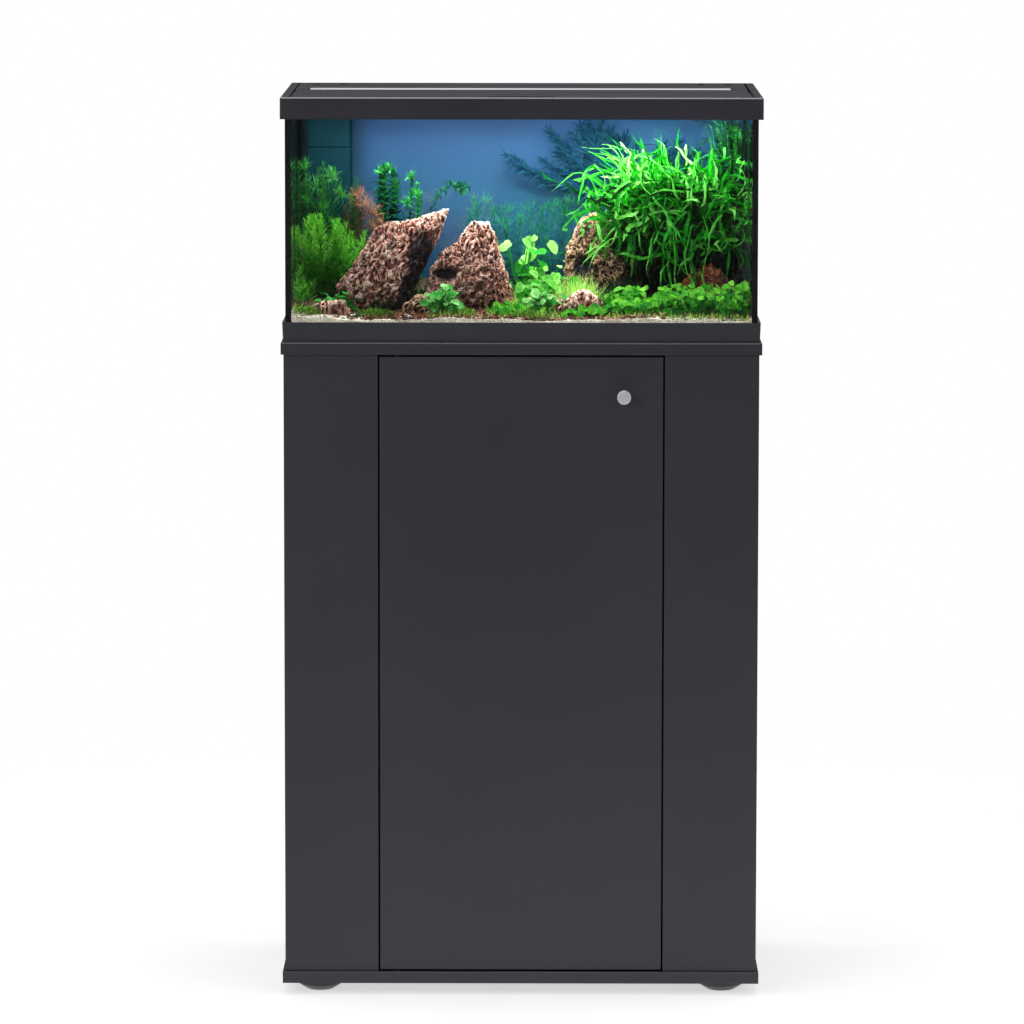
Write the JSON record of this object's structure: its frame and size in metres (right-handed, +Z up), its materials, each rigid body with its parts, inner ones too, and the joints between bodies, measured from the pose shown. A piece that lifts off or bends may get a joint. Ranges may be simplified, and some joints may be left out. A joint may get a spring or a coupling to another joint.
{
  "type": "aquarium on stand",
  "caption": "Planted glass aquarium with a lift-off hood, hinged feeding flap and lamp, standing on a board cabinet with one swing door and turning feet.",
  "frame": {"origin": "on the floor under the middle of the whole object's footprint, door knob included", "axes": "+Z up, +X to the viewer's right, +Y from the door to the back"},
  "size_m": [0.612, 0.3804, 1.154],
  "materials": {
    "cabinet_board": "satin laminate over particle board",
    "zinc_steel": "zinc plated",
    "beech": "raw beech",
    "bush_plastic": "black nylon",
    "catch_plastic": "moulded",
    "ferrite": "ferrite with steel poles",
    "frame_plastic": "satin moulded",
    "tank_glass": "clear float glass",
    "silicone": "black silicone",
    "background_blue": "printed blue film",
    "filter_plastic": "moulded",
    "sponge": "open foam",
    "ceramic_white": "ceramic",
    "heater_glass": "clear tube",
    "cup_rubber": "soft",
    "sand": "fine sand with lava chips",
    "lava_rock": "porous red-brown lava",
    "plant_light": "fine light green leaves",
    "plant_dark": "dark green leaves",
    "plant_leaf": "bright green round leaves",
    "plant_fern": "bright green narrow leaves",
    "knob_metal": "turned, satin",
    "hood_plastic": "satin moulded",
    "lamp_aluminium": "satin anodised",
    "lamp_cap": "moulded",
    "lamp_diffuser": "opal",
    "led_board": "white board with light chips",
    "gland_rubber": "moulded",
    "impeller_plastic": "magnet rotor with vanes",
    "dial_plastic": "moulded dial",
    "foot_plastic": "moulded nylon"
  },
  "bodies": {
    "cabinet": {"base_board": "cabinet_board", "top_board": "cabinet_board", "side_panel_left": "cabinet_board", "side_panel_right": "cabinet_board", "front_panel_left": "cabinet_board", "front_panel_right": "cabinet_board", "back_panel": "cabinet_board", "shelf": "cabinet_board", "shelf_pins": "zinc_steel", "dowels": "beech", "pivot_bushes": "bush_plastic", "magnet_catch": "catch_plastic", "catch_magnet": "ferrite", "foot_sockets": "zinc_steel", "tank_base_frame": "frame_plastic", "glass_bottom": "tank_glass", "glass_front": "tank_glass", "glass_back": "tank_glass", "glass_left": "tank_glass", "glass_right": "tank_glass", "silicone_seams": "silicone", "background_film": "background_blue", "filter_housing": "filter_plastic", "filter_sponge": "sponge", "pump_head": "filter_plastic", "impeller_shaft": "ceramic_white", "heater_tube": "heater_glass", "heater_core": "ceramic_white", "heater_cap": "filter_plastic", "suction_cups": "cup_rubber", "sand_bed": "sand", "rock_left": "lava_rock", "rock_centre": "lava_rock", "rock_right": "lava_rock", "loose_stones": "lava_rock", "bush_plants_left": "plant_light", "stem_plants_back": "plant_dark", "leafy_plants_front": "plant_leaf", "java_fern_right": "plant_fern", "carpet_plants_right": "plant_leaf"},
    "door": {"door": "cabinet_board", "door_knob": "knob_metal", "knob_screw": "zinc_steel", "door_pivot_pins": "zinc_steel", "strike_plate": "zinc_steel"},
    "hood": {"hood_shell": "hood_plastic", "flap_hinge_pins": "zinc_steel", "lamp_profile": "lamp_aluminium", "lamp_end_caps": "lamp_cap", "lamp_diffuser": "lamp_diffuser", "led_board": "led_board", "lamp_gland": "gland_rubber"},
    "flap": {"front_flap": "hood_plastic"},
    "impeller": {"impeller": "impeller_plastic"},
    "nozzle": {"outlet_nozzle": "filter_plastic"},
    "heater_dial": {"heater_dial": "dial_plastic"},
    "foot_front_left": {"foot_front_left": "foot_plastic"},
    "foot_front_right": {"foot_front_right": "foot_plastic"},
    "foot_rear_left": {"foot_rear_left": "foot_plastic"},
    "foot_rear_right": {"foot_rear_right": "foot_plastic"}
  },
  "joints": [
    {"name": "door_swing", "type": "hinge", "parent": "cabinet", "child": "door", "pos_m": [-0.1585, -0.16075, 0.428], "axis": [0, 0, -1], "range_deg": [0, 110]},
    {"name": "hood_lift", "type": "slide", "parent": "cabinet", "child": "hood", "axis": [0, 0, 1], "range_m": [0, 0.2]},
    {"name": "flap_open", "type": "hinge", "parent": "hood", "child": "flap", "pos_m": [0, 0.00425, 1.148], "axis": [-1, 0, 0], "range_deg": [0, 95]},
    {"name": "impeller_spin", "type": "hinge", "parent": "cabinet", "child": "impeller", "pos_m": [-0.261, 0.14325, 1.083], "axis": [0, 0, 1], "continuous": true},
    {"name": "nozzle_swivel", "type": "hinge", "parent": "cabinet", "child": "nozzle", "pos_m": [-0.243, 0.14325, 1.118], "axis": [0, 0, 1], "range_deg": [-60, 15]},
    {"name": "heater_dial_turn", "type": "hinge", "parent": "cabinet", "child": "heater_dial", "pos_m": [0.28, 0.14925, 1.096], "axis": [0, 0, 1], "range_deg": [0, 270]},
    {"name": "foot_front_left_turn", "type": "hinge", "parent": "cabinet", "child": "foot_front_left", "pos_m": [-0.259, -0.12475, 0.007], "axis": [0, 0, 1], "continuous": true},
    {"name": "foot_front_right_turn", "type": "hinge", "parent": "cabinet", "child": "foot_front_right", "pos_m": [0.259, -0.12475, 0.007], "axis": [0, 0, 1], "continuous": true},
    {"name": "foot_rear_left_turn", "type": "hinge", "parent": "cabinet", "child": "foot_rear_left", "pos_m": [-0.259, 0.14325, 0.007], "axis": [0, 0, 1], "continuous": true},
    {"name": "foot_rear_right_turn", "type": "hinge", "parent": "cabinet", "child": "foot_rear_right", "pos_m": [0.259, 0.14325, 0.007], "axis": [0, 0, 1], "continuous": true}
  ]
}
